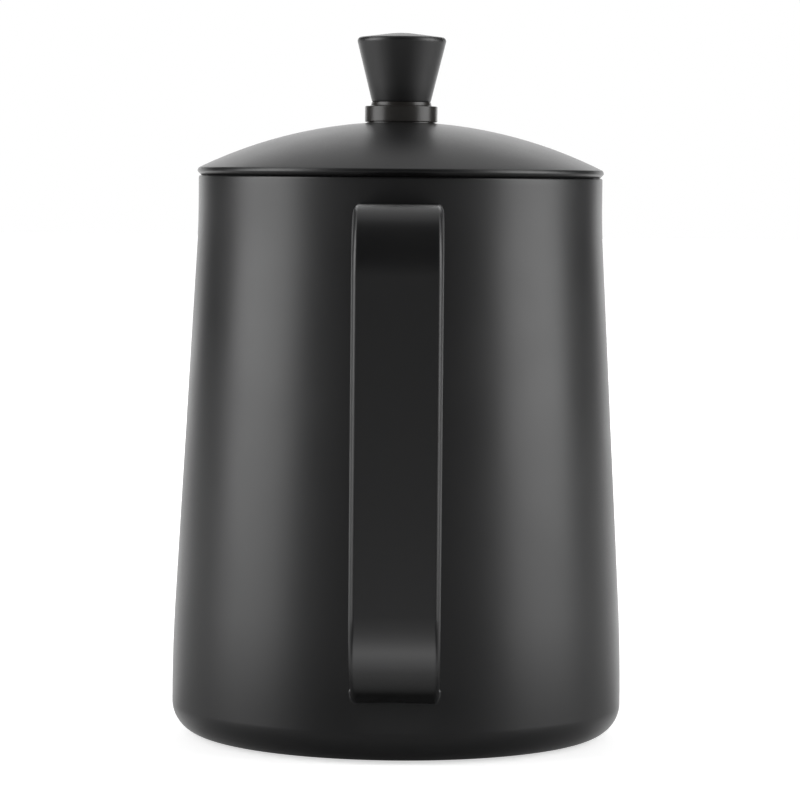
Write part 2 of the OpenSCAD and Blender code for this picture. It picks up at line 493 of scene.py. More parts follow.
@dataclass(frozen=True)
class Coating(Finish):
    """A sprayed or moulded dark surface with fine grain on soft waves."""

    low: Colour
    high: Colour
    roughness: float
    roughness_swing: float
    specular: float
    cloud_scale: float
    wave_scale: float
    wave_depth: float
    grain_scale: float
    grain_depth: float
    cloud_detail: float = 3.0
    grain_detail: float = 2.0
    wave_detail: float = 1.0

    def paint(self, sheet: NodeSheet) -> None:
        """Lets colour and gloss follow slow clouds, and lays grain on waves as relief.

        Args:
            sheet: The nodes of the material.
        """
        place = sheet.place()
        cloud = sheet.noise(place, self.cloud_scale, self.cloud_detail)
        grain = sheet.noise(place, self.grain_scale, self.grain_detail)
        wave = sheet.noise(place, self.wave_scale, self.wave_detail)
        swing = self.roughness_swing
        slow = sheet.spread(cloud, self.roughness - swing, self.roughness + swing)
        fast = sheet.spread(grain, -swing, swing)
        relief = sheet.bump(wave, self.wave_depth)
        shader = sheet.find("BSDF_PRINCIPLED")
        sheet.feed(shader.inputs["Base Color"], sheet.tint(cloud, self.low, self.high))
        sheet.feed(shader.inputs["Roughness"], sheet.maths("ADD", slow, fast))
        sheet.feed(shader.inputs["Specular IOR Level"], self.specular)
        sheet.feed(shader.inputs["Normal"], sheet.bump(grain, self.grain_depth, relief))


@dataclass(frozen=True)
class TurnedMetal(Finish):
    """Bare metal with fine marks that run round the kettle's axis."""

    low: Colour
    high: Colour
    roughness: float
    mark_scale: float
    mark_depth: float
    stretch: float
    mark_detail: float = 3.0
    roughness_swing: float = 0.06

    def paint(self, sheet: NodeSheet) -> None:
        """Makes the marks from noise that is stretched along circles round the axis.

        Args:
            sheet: The nodes of the material.
        """
        across, along, up = sheet.split(sheet.place())
        squares = [sheet.maths("MULTIPLY", part, part) for part in (across, along)]
        radius = sheet.maths("MAXIMUM", sheet.maths("SQRT", sheet.maths("ADD", *squares)), LEAST_RADIUS)
        course = sheet.add("ShaderNodeCombineXYZ")
        for i, part in enumerate((across, along)):
            direction = sheet.maths("DIVIDE", part, radius)
            sheet.feed(course.inputs[i], sheet.maths("MULTIPLY", direction, self.stretch))
        distance = sheet.maths("ADD", radius, up)
        sheet.feed(course.inputs[2], sheet.maths("MULTIPLY", distance, self.mark_scale))
        marks = sheet.noise(course.outputs[0], 1.0, self.mark_detail)
        smoothest = self.roughness - self.roughness_swing
        roughest = self.roughness + self.roughness_swing
        shader = sheet.find("BSDF_PRINCIPLED")
        sheet.feed(shader.inputs["Metallic"], 1.0)
        sheet.feed(shader.inputs["Base Color"], sheet.tint(marks, self.low, self.high))
        sheet.feed(shader.inputs["Roughness"], sheet.spread(marks, smoothest, roughest))
        sheet.feed(shader.inputs["Normal"], sheet.bump(marks, self.mark_depth))


BLACK_COATING = Coating(
    name="black_satin_coating",
    low=(0.0072, 0.0072, 0.0076),
    high=(0.0096, 0.0096, 0.0101),
    roughness=0.36,
    roughness_swing=0.02,
    specular=0.5,
    cloud_scale=55.0,
    wave_scale=420.0,
    wave_depth=2.0e-6,
    grain_scale=3600.0,
    grain_depth=3.5e-6,
)
KNOB_MOULDING = Coating(
    name="matte_black_moulding",
    low=(0.0085, 0.0085, 0.0088),
    high=(0.0115, 0.0115, 0.0119),
    roughness=0.40,
    roughness_swing=0.025,
    specular=0.55,
    cloud_scale=90.0,
    wave_scale=600.0,
    wave_depth=1.5e-6,
    grain_scale=4200.0,
    grain_depth=4.0e-6,
)
COLLAR_COATING = Coating(
    name="dark_collar_coating",
    low=(0.017, 0.0155, 0.014),
    high=(0.022, 0.020, 0.018),
    roughness=0.30,
    roughness_swing=0.02,
    specular=0.42,
    cloud_scale=120.0,
    wave_scale=700.0,
    wave_depth=1.0e-6,
    grain_scale=4500.0,
    grain_depth=1.5e-6,
)
BARE_STEEL = TurnedMetal(
    name="bare_brushed_steel",
    low=(0.52, 0.51, 0.49),
    high=(0.62, 0.61, 0.59),
    roughness=0.38,
    mark_scale=2600.0,
    mark_depth=2.0e-6,
    stretch=3.0,
)
INSERT_BRASS = TurnedMetal(
    name="turned_brass",
    low=(0.62, 0.48, 0.28),
    high=(0.74, 0.59, 0.36),
    roughness=0.28,
    mark_scale=5200.0,
    mark_depth=1.5e-6,
    stretch=1.5,
)


def tie(piece: Piece, body: Body, slot: Slot, nodes: Sequence[str], *finishes: Finish) -> Piece:
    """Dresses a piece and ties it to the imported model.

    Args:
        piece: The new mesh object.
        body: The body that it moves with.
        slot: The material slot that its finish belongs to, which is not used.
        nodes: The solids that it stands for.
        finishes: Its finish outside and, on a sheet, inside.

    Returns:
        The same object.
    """
    for place, finish in enumerate(finishes):
        piece.data.materials[place] = finish.material()
    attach(piece, body.value)
    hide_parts(*nodes)
    return piece


@dataclass(frozen=True)
class Station:
    """One place on a path."""

    place: Vector
    heading: Vector
    normal: Vector
    travel: float

    def ring(self, outline: Sequence[Flat]) -> Ring:
        """An outline set square to the path at this place."""
        return [self.place + SIDEWAYS * across + self.normal * up for across, up in outline]


class PlanePath:
    """A path of straight runs and turns in the upright plane through the handle and the spout."""

    def __init__(self, start: Flat, heading: float, side: int) -> None:
        """Starts a path.

        Args:
            start: The distance of its first place from the axis and its height.
            heading: Its first direction in degrees above the horizontal.
            side: 1 for the side of the spout and -1 for that of the handle.
        """
        self.spot = Vector(start)
        self.heading = heading
        self.side = side
        self.travel = 0.0
        self.stations: list[Station] = []
        self.mark()

    def mark(self) -> None:
        """Adds a station at the present place."""
        angle = math.radians(self.heading)
        place = Vector((0, self.side * self.spot.x, self.spot.y))
        heading = Vector((0, self.side * math.cos(angle), math.sin(angle)))
        normal = Vector((0, -self.side * math.sin(angle), math.cos(angle)))
        self.stations.append(Station(place, heading, normal, self.travel))

    def straight(self, length: float, steps: int) -> None:
        """Goes straight on, with a guard at each end.

        Args:
            length: The length of the run.
            steps: The number of stretches between stations.
        """
        guard = RUN_GUARD / steps
        shares = [guard, *(i / steps for i in range(1, steps)), 1 - guard, 1.0]
        angle = math.radians(self.heading)
        way = Vector((math.cos(angle), math.sin(angle)))
        begin = self.spot.copy()
        done = self.travel
        for share in shares:
            self.spot = begin + way * length * share
            self.travel = done + length * share
            self.mark()

    def turn(self, radius: float, swing: float, steps: int) -> None:
        """Goes round an arc.

        Args:
            radius: The radius of the arc.
            swing: The change of heading in degrees, upwards if positive on the way out.
            steps: The number of stretches between stations.
        """
        hand = math.copysign(1.0, swing)
        square = math.radians(self.heading + 90 * hand)
        centre = self.spot + Vector((math.cos(square), math.sin(square))) * radius
        begin = self.heading
        done = self.travel
        for i in range(1, steps + 1):
            self.heading = begin + swing * i / steps
            out = math.radians(self.heading - 90 * hand)
            self.spot = centre + Vector((math.cos(out), math.sin(out))) * radius
            self.travel = done + radius * math.radians(abs(swing)) * i / steps
            self.mark()


@dataclass
class KettleBody:
    """The tapered wall with its hem and the pan that closes it below."""

    mouth_radius: float = 0.0403
    sheet: float = 0.0008
    hem_thickness: float = 0.0014
    hem_edges: Flat = (0.00036, 0.0006)  # outer and inner radius
    hem_rise: float = 0.0001
    hem_depth: float = 0.0022
    hem_steps: int = 10
    tuck_edge: Flat = (0.0003, 0.0001)  # the rounding at the hem's end, and the inset of its middle point
    ease_in: Flat = (0.0082, 0.0262)  # heights between which the taper sets in
    ease_out: Flat = (0.0972, 0.1062)  # heights between which it dies away
    wall_steps: int = 90
    corner_steps: Counts = (32, 24)  # outside and inside
    corner_run: float = 0.0005
    groove_radius: float = 0.030
    groove_width: float = 0.002
    groove_depth: float = 0.0003
    groove_ease: float = 0.0004
    groove_edge: float = 0.00008
    reach_limit: float = 0.03

    def __post_init__(self) -> None:
        """Reads the main sizes from the solids."""
        low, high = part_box("body_wall")
        self.foot_radius = high.x
        self.corner = low.z
        self.rim = high.z
        run = sum(self.ease_out) / 2 - sum(self.ease_in) / 2
        self.taper = (self.foot_radius - self.mouth_radius) / run

    @staticmethod
    def worked(height: float, span: Flat) -> float:
        """The length over which a slope has acted when it grows from none to full over a span of heights.

        Args:
            height: The height up to which it has acted.
            span: The span of heights.

        Returns:
            The length.
        """
        if height <= span[0]:
            return 0.0
        if height >= span[1]:
            return height - sum(span) / 2
        return (height - span[0]) ** 2 / (2 * (span[1] - span[0]))

    def radius(self, height: float) -> float:
        """The outer radius of the wall at a height."""
        acted = self.worked(height, self.ease_in) - self.worked(height, self.ease_out)
        return self.foot_radius - self.taper * acted

    def holds(self, point: Vector, out: float) -> bool:
        """True where a point is nearer to the axis than a distance outside the wall."""
        return math.hypot(point.x, point.y) < self.radius(point.z) + out

    def reach(self, start: Vector, way: Vector, out: float) -> Vector:
        """Finds where a line stands at a distance from the wall.

        Args:
            start: A point on the line, near the wall.
            way: The direction of the line, away from the kettle's axis.
            out: The distance outside the wall, negative inside it.

        Returns:
            The point on the line.
        """

        def inside(step: float) -> bool:
            """True where a step along the line is nearer to the axis than that."""
            return self.holds(start + way * step, out)

        return start + way * crossing(-self.reach_limit, self.reach_limit, inside)

    def build_wall(self, hole: Piece) -> Piece:
        """The wall with its rounded hem and the hole for the spout.

        Args:
            hole: The cutter for the hole, which is deleted.

        Returns:
            The wall.
        """
        outer_edge, inner_edge = self.hem_edges
        hem_top = self.rim + self.hem_rise
        hem_height = hem_top - outer_edge
        span = hem_height - self.corner
        heights = [self.corner + span * i / self.wall_steps for i in range(self.wall_steps + 1)]
        heights.insert(1, self.corner + SEAM_GUARD)
        outer = [(self.radius(z), z) for z in heights]
        inner_hem = self.mouth_radius - self.hem_thickness
        fold = arc((self.mouth_radius - outer_edge, hem_height), outer_edge, 0, 90, self.hem_steps)[1:]
        fold += arc((inner_hem + inner_edge, hem_top - inner_edge), inner_edge, 90, 180, self.hem_steps)
        end = self.rim - self.hem_depth
        wide, small = self.tuck_edge
        tuck = [(inner_hem, end + wide), (inner_hem + small, end + small), (inner_hem + wide, end)]
        lining = [(self.radius(end) - self.sheet, end)]
        lining += [(self.radius(z) - self.sheet, z) for z in reversed(heights) if z < end]
        outline = outer + fold + tuck + lining
        # The coating reaches round the tuck's edge.
        coated = len(outer) + len(fold) + 2
        wall = revolve("wall", outline, two_sided(coated, len(outline)))
        drill(wall, hole)
        return wall

    def build_pan(self) -> Piece:
        """The pan with its rounded corner and the groove pressed into it.

        Returns:
            The pan.
        """
        centre = (self.foot_radius - self.corner, self.corner)
        outer_steps, inner_steps = self.corner_steps
        top = [(self.foot_radius, self.corner), (self.foot_radius, self.corner - SEAM_GUARD)]
        bend = arc(centre, self.corner, 0, -90, outer_steps)[1:]
        run = centre[0] - self.corner_run
        middle = self.groove_radius
        half = self.groove_width / 2
        far, near = half + self.groove_ease, half - self.groove_ease
        groove = [(far, 0.0), (half, self.groove_edge), (near, self.groove_depth)]
        below = [(run, 0.0)]
        below += [(middle + x, z) for x, z in groove]
        below += [(middle - x, z) for x, z in reversed(groove)]
        below.append((0.0, 0.0))
        floor, ridge = self.sheet, self.sheet + self.groove_depth
        above = [(0.0, floor), (middle - far, floor), (middle - near, ridge)]
        above += [(middle + near, ridge), (middle + far, floor), (run, floor)]
        lining = arc(centre, self.corner - self.sheet, -90, 0, inner_steps)
        outline = top + bend + below + above + lining
        coated = len(top) + len(bend) + len(below)
        return revolve("pan", outline, two_sided(coated, len(outline)))

    def build(self, hole: Piece) -> list[Piece]:
        """Both pieces, dressed black outside and bare inside.

        Args:
            hole: The cutter for the hole of the spout.

        Returns:
            The wall and the pan.
        """
        wall = self.build_wall(hole)
        pan = self.build_pan()
        return [
            tie(wall, Body.KETTLE, Slot.BLACK, ["body_wall"], BLACK_COATING, BARE_STEEL),
            tie(pan, Body.KETTLE, Slot.BLACK, ["base_pan"], BLACK_COATING, BARE_STEEL),
        ]


@dataclass
class WeldBead:
    """A small fillet of weld where a piece meets the wall."""

    size: float = 0.0009
    bite: float = 0.0003
    steps: int = 6
    ripple: float = 0.06
    ripple_length: float = 0.0011

    def build(self, name: str, wall: KettleBody, seam: Seam, way: Vector, lean: float = 0.0) -> Piece:
        """A fillet that follows a seam.

        Args:
            name: The name of the new object.
            wall: The wall that the fillet lies on.
            seam: Points round the welded piece, each with its direction away from the piece.
            way: The direction in which the piece leaves the wall.
            lean: How much the piece draws in for each unit of height above the wall.

        Returns:
            The new object.
        """
        course = [(self.size, -self.bite)]
        for i in range(self.steps + 1):
            angle = math.radians(90 * i / self.steps)
            course.append((self.size * (1 - math.sin(angle)), self.size * (1 - math.cos(angle))))
        course.append((-self.bite, self.size))
        course.append((-self.bite, -self.bite))
        lengths = [0.0]
        for i in range(1, len(seam)):
            lengths.append(lengths[-1] + (seam[i][0] - seam[i - 1][0]).length)
        rings = []
        for aside, height in course:
            ring = []
            for (point, outward), travel in zip(seam, lengths, strict=True):
                swell = 1 + self.ripple * math.sin(2 * math.pi * travel / self.ripple_length)
                start = point + outward * (aside * swell - lean * max(height, 0.0))
                ring.append(wall.reach(start, way, height * swell if height > 0 else height))
            rings.append(ring)
        return loft(name, rings)


@dataclass
class StrapHandle:
    """The flat strip that is bent twice and welded to the wall at both ends."""

    width: float = 0.0168
    thickness: float = 0.0024
    front_edge: Flat = (0.0011, 0.0021)  # how far the outer edges' ellipses reach across and into the strip
    back_edge: float = 0.0003
    edge_steps: Counts = (16, 4)  # outer and inner edges
    flat_guard: float = 0.0001
    bend_radius: float = 0.0126
    bend_steps: Counts = (30, 26)  # upper and lower bend
    run_steps: Counts = (3, 6)  # the runs to the wall, and the grip
    lower_bend_height: float = 0.0317
    lower_slope: float = 20.0
    bite: float = 0.0003
    stand_off: float = 0.004
    upper_weld: float = 0.00018
    lower_weld: float = 0.00045
    weld_step: float = 0.0003

    def __post_init__(self) -> None:
        """Reads the reach and the height from the solid."""
        low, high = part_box("handle_strap")
        self.distance = -low.y
        self.top = high.z

    def outline(self) -> list[Flat]:
        """The cross section of the strip, rounded deeply on its outer side and a little on its inner side.

        Returns:
            Pairs of the distance to the side and the distance outwards.
        """
        half, face, small = self.width / 2, self.thickness / 2, self.back_edge
        across, deep = self.front_edge
        front_steps, back_steps = self.edge_steps
        right = arc((half - small, small - face), small, -90, 0, back_steps)
        for turn_across, turn_up in arc((0.0, 0.0), 1.0, 0, 90, front_steps):
            right.append((half - across + across * turn_across, face - deep + deep * turn_up))
        right.append((half - across - self.flat_guard, face))
        return right + [(-x, up) for x, up in reversed(right)]

    def path(self, wall: KettleBody) -> PlanePath:
        """The middle line of the strip.

        Args:
            wall: The wall that the strip is welded to.

        Returns:
            The path from just off the wall at the top to just off it below.
        """
        middle = self.thickness / 2
        turn_radius = self.bend_radius - middle
        upper_steps, lower_steps = self.bend_steps
        wall_steps, grip_steps = self.run_steps
        start = wall.mouth_radius + self.stand_off
        bend_at = self.distance - self.bend_radius
        path = PlanePath((start, self.top - middle), 0.0, -1)
        path.straight(bend_at - start, wall_steps)
        path.turn(turn_radius, -90.0, upper_steps)
        path.straight(self.top - self.bend_radius - self.lower_bend_height, grip_steps)
        path.turn(turn_radius, -(90.0 - self.lower_slope), lower_steps)
        left = path.spot.x - wall.foot_radius - self.stand_off
        path.straight(left / math.cos(math.radians(self.lower_slope)), wall_steps)
        return path

    def seam(self, station: Station) -> Seam:
        """Points round the strip, no further apart than the step of the weld.

        Args:
            station: The place on the strip's middle line.

        Returns:
            The points, each with its direction away from the strip.
        """
        flat = self.outline()
        corners = []
        for i, place in enumerate(station.ring(flat)):
            before = flat[i - 1]
            after = flat[(i + 1) % len(flat)]
            outward = Vector((after[1] - before[1], before[0] - after[0])).normalized()
            corners.append((place, SIDEWAYS * outward.x + station.normal * outward.y))
        found = []
        for i, (place, outward) in enumerate(corners):
            next_place, next_outward = corners[(i + 1) % len(corners)]
            count = max(1, math.ceil((next_place - place).length / self.weld_step))
            for j in range(count):
                turned = outward.lerp(next_outward, j / count).normalized()
                found.append((place.lerp(next_place, j / count), turned))
        return found

    def build(self, wall: KettleBody) -> list[Piece]:
        """The strip and its two welds.

        Args:
            wall: The wall that the strip is welded to.

        Returns:
            The three pieces.
        """
        stations = self.path(wall).stations
        flat = self.outline()
        first, last = stations[0], stations[-1]
        upper_way, lower_way = first.heading, -last.heading
        rings = [[wall.reach(p, upper_way, -self.bite) for p in first.ring(flat)]]
        rings += [station.ring(flat) for station in stations]
        rings.append([wall.reach(p, lower_way, -self.bite) for p in last.ring(flat)])
        strap = loft("strap", rings, closed=False)
        upper_bead, lower_bead = WeldBead(size=self.upper_weld), WeldBead(size=self.lower_weld)
        upper = upper_bead.build("strap_weld_upper", wall, self.seam(first), upper_way)
        lower = lower_bead.build("strap_weld_lower", wall, self.seam(last), lower_way)
        return [
            tie(strap, Body.KETTLE, Slot.BLACK, ["handle_strap"], BLACK_COATING),
            tie(upper, Body.KETTLE, Slot.BLACK, ["upper_handle_weld"], BLACK_COATING),
            tie(lower, Body.KETTLE, Slot.BLACK, ["lower_handle_weld"], BLACK_COATING),
        ]


@dataclass
class Gooseneck:
    """The flared root on the wall and the curved tube that narrows to the tip."""

    root_height: float = 0.026
    root_rise: float = 18.0
    root_length: float = 0.016
    root_radius: float = 0.0115
    neck_radius: float = 0.007
    crook_radius: float = 0.0047
    tip_radius: float = 0.0044
    lower_turn: float = 0.022
    neck_lean: float = 97.0
    neck_length: float = 0.032
    crook_turn: float = 0.019
    tip_drop: float = 20.0
    tip_length: float = 0.013
    tip_cut: float = 25.0
    sheet: float = 0.0008
    hole_radius: float = 0.0095
    bite: float = 0.0003
    landing_span: Flat = (-0.009, 0.012)  # distances along the root between which it meets the wall
    taper_ease: float = 0.008
    cut_ease: float = 0.007
    round_steps: int = 72
    weld_steps: int = 288
    root_steps: int = 28
    turn_steps: Counts = (40, 56)  # lower turn and crook
    run_steps: Counts = (20, 16)  # neck and tip
    lip_steps: int = 10

    def root_station(self, wall: KettleBody) -> Station:
        """The place and direction at which the root leaves the wall."""
        return PlanePath((wall.radius(self.root_height), self.root_height), self.root_rise, 1).stations[0]

    def rays(self, station: Station, count: int) -> list[Vector]:
        """Directions all round a station, square to the path."""
        return [SIDEWAYS * math.cos(a) + station.normal * math.sin(a) for a in turns(count)]

    def flare(self, travel: float) -> float:
        """The outer radius of the root, which draws in along an arc.

        Args:
            travel: The distance along the root.

        Returns:
            The radius.
        """
        step = self.root_radius - self.neck_radius
        bend = (self.root_length**2 + step**2) / (2 * step)
        return self.neck_radius + bend - math.sqrt(bend**2 - (travel - self.root_length) ** 2)

    def skin(self, base: Station, ray: Vector, travel: float, thinner: float = 0.0) -> Vector:
        """A point of the root, at a distance along it and a depth inside its outer skin."""
        return base.place + base.heading * travel + ray * (self.flare(travel) - thinner)

    def landing(self, wall: KettleBody, base: Station, ray: Vector, thinner: float, out: float) -> float:
        """Finds where the root meets the wall.

        Args:
            wall: The wall.
            base: The station at which the root starts.
            ray: The direction round the root.
            thinner: The depth inside the root's outer skin.
            out: The distance outside the wall.

        Returns:
            The distance along the root.
        """

        def inside(travel: float) -> bool:
            """True where the root is still inside that distance."""
            return wall.holds(self.skin(base, ray, travel, thinner), out)

        return crossing(*self.landing_span, inside)

    def build_root(self, wall: KettleBody) -> Piece:
        """The flared root, cut to the wall.

        Args:
            wall: The wall that the root is welded to.

        Returns:
            The root.
        """
        base = self.root_station(wall)
        rays = self.rays(base, self.round_steps)
        guard_place = base.place + base.heading * (self.root_length - SEAM_GUARD)
        skins = []
        for thinner in (0.0, self.sheet):
            starts = [self.landing(wall, base, ray, thinner, -self.bite) for ray in rays]
            rings = []
            for i in range(self.root_steps + 1):
                ring = []
                for ray, start in zip(rays, starts, strict=True):
                    travel = start + (self.root_length - start) * (i / self.root_steps)
                    ring.append(self.skin(base, ray, travel, thinner))
                rings.append(ring)
            rings.insert(-1, [guard_place + ray * (self.neck_radius - thinner) for ray in rays])
            skins.append(rings)
        outer, inner = skins
        sides = two_sided(len(outer), len(outer) + len(inner))
        return loft("spout_root_flare", outer + inner[::-1], True, sides)

    def path(self, wall: KettleBody) -> PlanePath:
        """The middle line of the tube.

        Args:
            wall: The wall that the root is welded to.

        Returns:
            The path from the root to the tip.
        """
        base = self.root_station(wall)
        end = base.place + base.heading * self.root_length
        lower_steps, crook_steps = self.turn_steps
        neck_steps, tip_steps = self.run_steps
        cut_back = self.tip_radius * math.tan(math.radians(self.tip_cut))
        path = PlanePath((end.y, end.z), self.root_rise, 1)
        path.turn(self.lower_turn, self.neck_lean - self.root_rise, lower_steps)
        path.straight(self.neck_length, neck_steps)
        path.turn(self.crook_turn, -(self.neck_lean + self.tip_drop), crook_steps)
        path.straight(self.tip_length - cut_back, tip_steps)
        return path

    def tube_radius(self, travel: float, whole: float) -> float:
        """The outer radius of the tube, which narrows softly along the neck and a little more to the tip.

        Args:
            travel: The distance from the root.
            whole: The length of the whole tube.

        Returns:
            The radius.
        """
        bend_end = self.lower_turn * math.radians(self.neck_lean - self.root_rise)
        start = bend_end - self.taper_ease
        end = bend_end + self.neck_length + self.taper_ease
        to_crook = eased((travel - start) / (end - start))
        to_tip = eased((travel - end) / (whole - end))
        narrow = self.neck_radius + (self.crook_radius - self.neck_radius) * to_crook
        return narrow + (self.tip_radius - self.crook_radius) * to_tip

    def tube_ring(self, station: Station, radius: float, ahead: float, whole: float) -> Ring:
        """A ring of the tube, sheared to the slant of the tip where that is near.

        Args:
            station: The place on the tube's middle line.
            radius: The radius of the ring.
            ahead: How far the ring lies ahead of the station.
            whole: The length of the whole tube.

        Returns:
            The points of the ring.
        """
        slant = math.tan(math.radians(self.tip_cut))
        share = eased((station.travel - whole + self.cut_ease) / self.cut_ease)
        made = []
        for a in turns(self.round_steps):
            up = radius * math.sin(a)
            place = station.place + SIDEWAYS * radius * math.cos(a) + station.normal * up
            made.append(place + station.heading * (ahead - up * slant * share))
        return made

    def build_tube(self, wall: KettleBody) -> Piece:
        """The curved tube with its bore and a rounded lip on the slanted tip.

        Args:
            wall: The wall that the root is welded to.

        Returns:
            The tube.
        """
        stations = self.path(wall).stations
        whole = stations[-1].travel
        radii = [self.tube_radius(station.travel, whole) for station in stations]
        pairs = list(zip(stations, radii, strict=True))
        lip_radius = self.sheet / 2
        lip_outline = arc((self.tip_radius - lip_radius, 0.0), lip_radius, 0, 180, self.lip_steps)[1:-1]
        outer = [self.tube_ring(station, radius, 0.0, whole) for station, radius in pairs]
        lip = [self.tube_ring(stations[-1], radius, ahead, whole) for radius, ahead in lip_outline]
        inner = [self.tube_ring(station, radius - self.sheet, 0.0, whole) for station, radius in pairs[::-1]]
        rings = outer + lip + inner
        return loft("spout_tube", rings, True, two_sided(len(outer) + len(lip), len(rings)))

    def build_weld(self, wall: KettleBody) -> Piece:
        """The weld round the foot of the root.

        Args:
            wall: The wall that the root is welded to.

        Returns:
            The weld.
        """
        base = self.root_station(wall)
        bead = WeldBead()
        seam = []
        for ray in self.rays(base, self.weld_steps):
            travel = self.landing(wall, base, ray, 0.0, 0.0)
            seam.append((self.skin(base, ray, travel), ray))
        lean = (self.flare(0.0) - self.flare(bead.size)) / bead.size
        return bead.build("spout_weld_seam", wall, seam, base.heading, lean)

    def hole(self, wall: KettleBody) -> Piece:
        """The cutter for the hole in the wall.

        Args:
            wall: The wall that gets the hole.

        Returns:
            The cutter.
        """
        base = self.root_station(wall)
        half = self.root_length / 2
        ends = [base.place + base.heading * step for step in (-half, half)]
        rays = self.rays(base, self.round_steps)
        rings = [[end + ray * self.hole_radius for ray in rays] for end in ends]
        return loft("spout_hole", rings, closed=False)

    def build(self, wall: KettleBody) -> list[Piece]:
        """The root, the tube and the weld.

        Args:
            wall: The wall that the root is welded to.

        Returns:
            The three pieces.
        """
        root = self.build_root(wall)
        tube = self.build_tube(wall)
        weld = self.build_weld(wall)
        return [
            tie(root, Body.KETTLE, Slot.BLACK, ["spout_root"], BLACK_COATING, BARE_STEEL),
            tie(tube, Body.KETTLE, Slot.BLACK, ["spout_neck"], BLACK_COATING, BARE_STEEL),
            tie(weld, Body.KETTLE, Slot.BLACK, ["spout_weld"], BLACK_COATING),
        ]


@dataclass
class Lid:
    """The domed lid with its rolled edge, and the skirt under it."""

    dome_radius: float = 0.091
    sheet: float = 0.0008
    bead_radius: float = 0.00075
    bead_steps: int = 16
    tuck_radius: float = 0.0004
    tuck_angle: float = 45.0
    fold_edge: float = 0.00006
    seat_gap: float = 0.00012
    hole_radius: float = 0.0022
    vent_radius: float = 0.0012
    vent_at: float = 0.028
    vent_steps: int = 48
    vent_cut: Flat = (-0.02, 0.01)  # ends of the vent's cutter, from the top of the dome
    dome_steps: int = 72
    skirt_edge: float = 0.0002
    skirt_thickness: float = 0.0007
    coated_from: float = 0.006

    def __post_init__(self) -> None:
        """Reads the main sizes from the solids."""
        dome_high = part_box("lid_dome")[1]
        self.outer_radius = dome_high.x
        peak = dome_high.z + self.dome_radius - math.sqrt(self.dome_radius**2 - self.hole_radius**2)
        self.centre = peak - self.dome_radius
        self.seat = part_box("body_wall")[1].z + self.seat_gap
        skirt_low, skirt_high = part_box("lid_skirt")
        self.skirt_radius = skirt_high.x
        self.skirt_foot = skirt_low.z

    def vent_cutter(self) -> Piece:
        """The cutter for the vent.

        Returns:
            The cutter.
        """
        rings = []
        for step in self.vent_cut:
            height = self.centre + self.dome_radius + step
            round_vent = arc((0.0, self.vent_at), self.vent_radius, 0, 360, self.vent_steps)[:-1]
            rings.append([Vector((across, along, height)) for across, along in round_vent])
        return loft("vent", rings, closed=False)

    def build_dome(self) -> Piece:
        """The dome, whose sheet rolls under at the edge and tapers in to the mouth.

        Returns:
            The dome.
        """
        middle = (0.0, self.centre)
        bead_at = self.outer_radius - self.bead_radius
        bead_height = self.centre + math.sqrt((self.dome_radius - self.bead_radius) ** 2 - bead_at**2)
        meet = math.degrees(math.atan2(bead_height - self.centre, bead_at))
        hole_angle = math.degrees(math.acos(self.hole_radius / self.dome_radius))
        outer = arc(middle, self.dome_radius, hole_angle, meet, self.dome_steps)
        bead = arc((bead_at, bead_height), self.bead_radius, meet, 0, self.bead_steps)[1:]
        tuck_at = self.outer_radius - self.tuck_radius
        bead += arc((tuck_at, bead_height), self.tuck_radius, 0, -self.tuck_angle, self.bead_steps)[1:]
        nose_at, nose_height = bead[-1]
        slope = math.tan(math.radians(90 - self.tuck_angle))
        fold_at = nose_at - (nose_height - self.seat) / slope
        inner_edge = bead_at - self.bead_radius
        edge = self.fold_edge
        fold = [
            (nose_at - edge, nose_height - edge * slope),
            (fold_at + edge, self.seat + edge * slope),
            (fold_at - edge, self.seat),
            (inner_edge + edge, self.seat),
            (inner_edge, self.seat + edge),
        ]
        inner_radius = self.dome_radius - self.sheet
        start = math.degrees(math.acos(inner_edge / inner_radius))
        end = math.degrees(math.acos(self.hole_radius / inner_radius))
        inner = arc(middle, inner_radius, start, end, self.dome_steps)
        coated = outer + bead + fold
        outline = coated + inner
        dome = revolve("lid_shell", outline, two_sided(len(coated), len(outline)))
        drill(dome, self.vent_cutter())
        return dome

    def build_skirt(self) -> Piece:
        """The skirt, which runs up into the dome's sheet and is coated outside near it.

        Returns:
            The skirt.
        """
        inner = self.skirt_radius - self.skirt_thickness
        sunk = self.dome_radius - self.sheet / 2
        top_outer = self.centre + math.sqrt(sunk**2 - self.skirt_radius**2)
        top_inner = self.centre + math.sqrt(sunk**2 - inner**2)
        coated = self.skirt_foot + self.coated_from
        outline = rounded(
            [
                (inner, self.skirt_foot, self.skirt_edge),
                (self.skirt_radius, self.skirt_foot, self.skirt_edge),
                (self.skirt_radius, coated, 0),
                (self.skirt_radius, top_outer, 0),
                (inner, top_inner, 0),
            ]
        )
        sides = [Side.OUTSIDE if r > inner and z >= coated else Side.INSIDE for r, z in outline]
        return revolve("lid_skirt_ring", outline, sides)

    def build(self) -> list[Piece]:
        """The dome and the skirt.

        Returns:
            The two pieces.
        """
        dome = self.build_dome()
        skirt = self.build_skirt()
        return [
            tie(dome, Body.LID, Slot.BLACK, ["lid_dome"], BLACK_COATING, BARE_STEEL),
            tie(skirt, Body.LID, Slot.STEEL, ["lid_skirt"], BLACK_COATING, BARE_STEEL),
        ]


